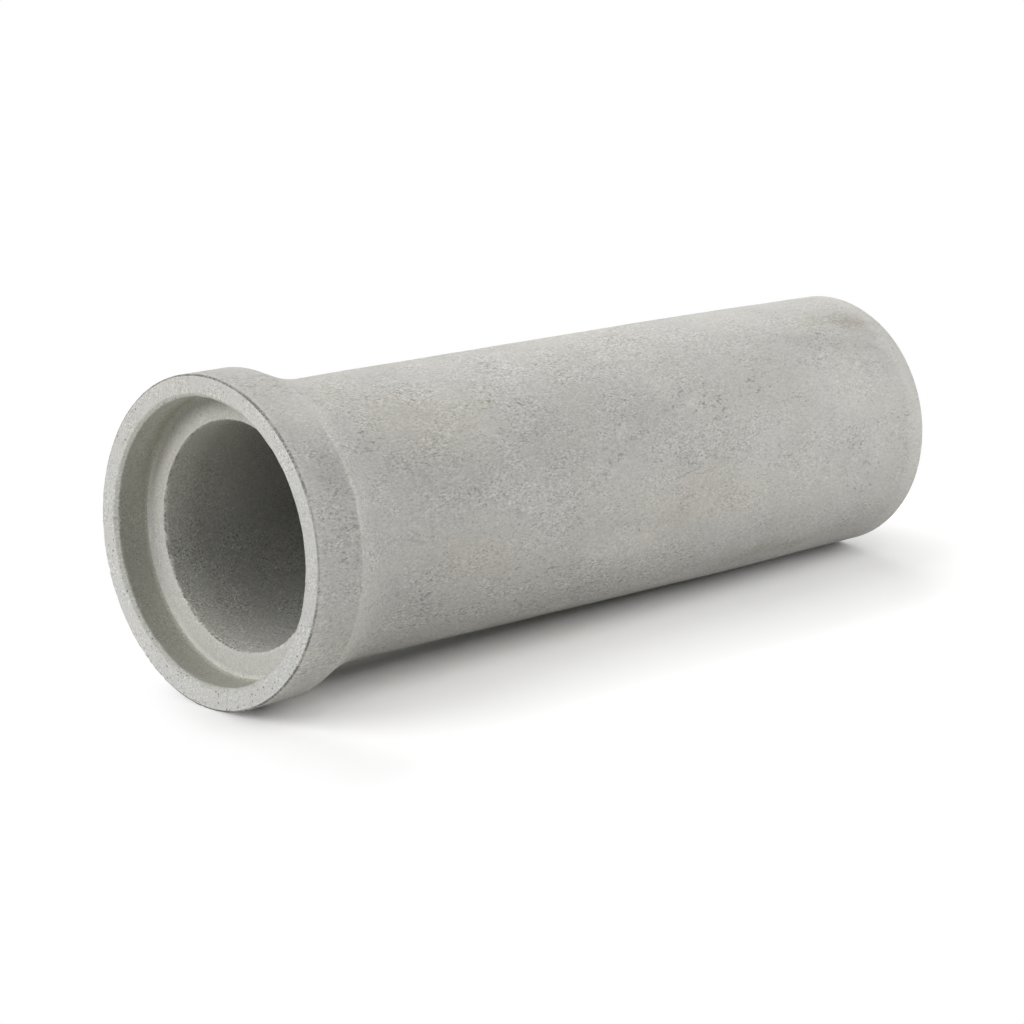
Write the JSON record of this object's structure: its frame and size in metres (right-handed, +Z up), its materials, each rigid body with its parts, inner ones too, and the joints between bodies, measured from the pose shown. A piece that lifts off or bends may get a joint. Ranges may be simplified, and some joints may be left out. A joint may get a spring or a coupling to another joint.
{
  "type": "concrete sewer pipe",
  "caption": "Straight concrete pipe with a plain round bore, a socket in a flared bell at one end and a tapered spigot at the other, for gravity drains and sewers.",
  "frame": {"origin": "on the floor under the middle of the pipe's length and width, as it lies unheld", "axes": "+Z up; +X along the pipe towards its spigot, which lies lower than the bell, so the pipe's own axis falls by 1.65 degrees towards +X; +Y level across the pipe"},
  "size_m": [1.009, 0.3598, 0.3613],
  "materials": {
    "concrete": "matte"
  },
  "bodies": {
    "root": {"pipe": "concrete"}
  },
  "joints": []
}
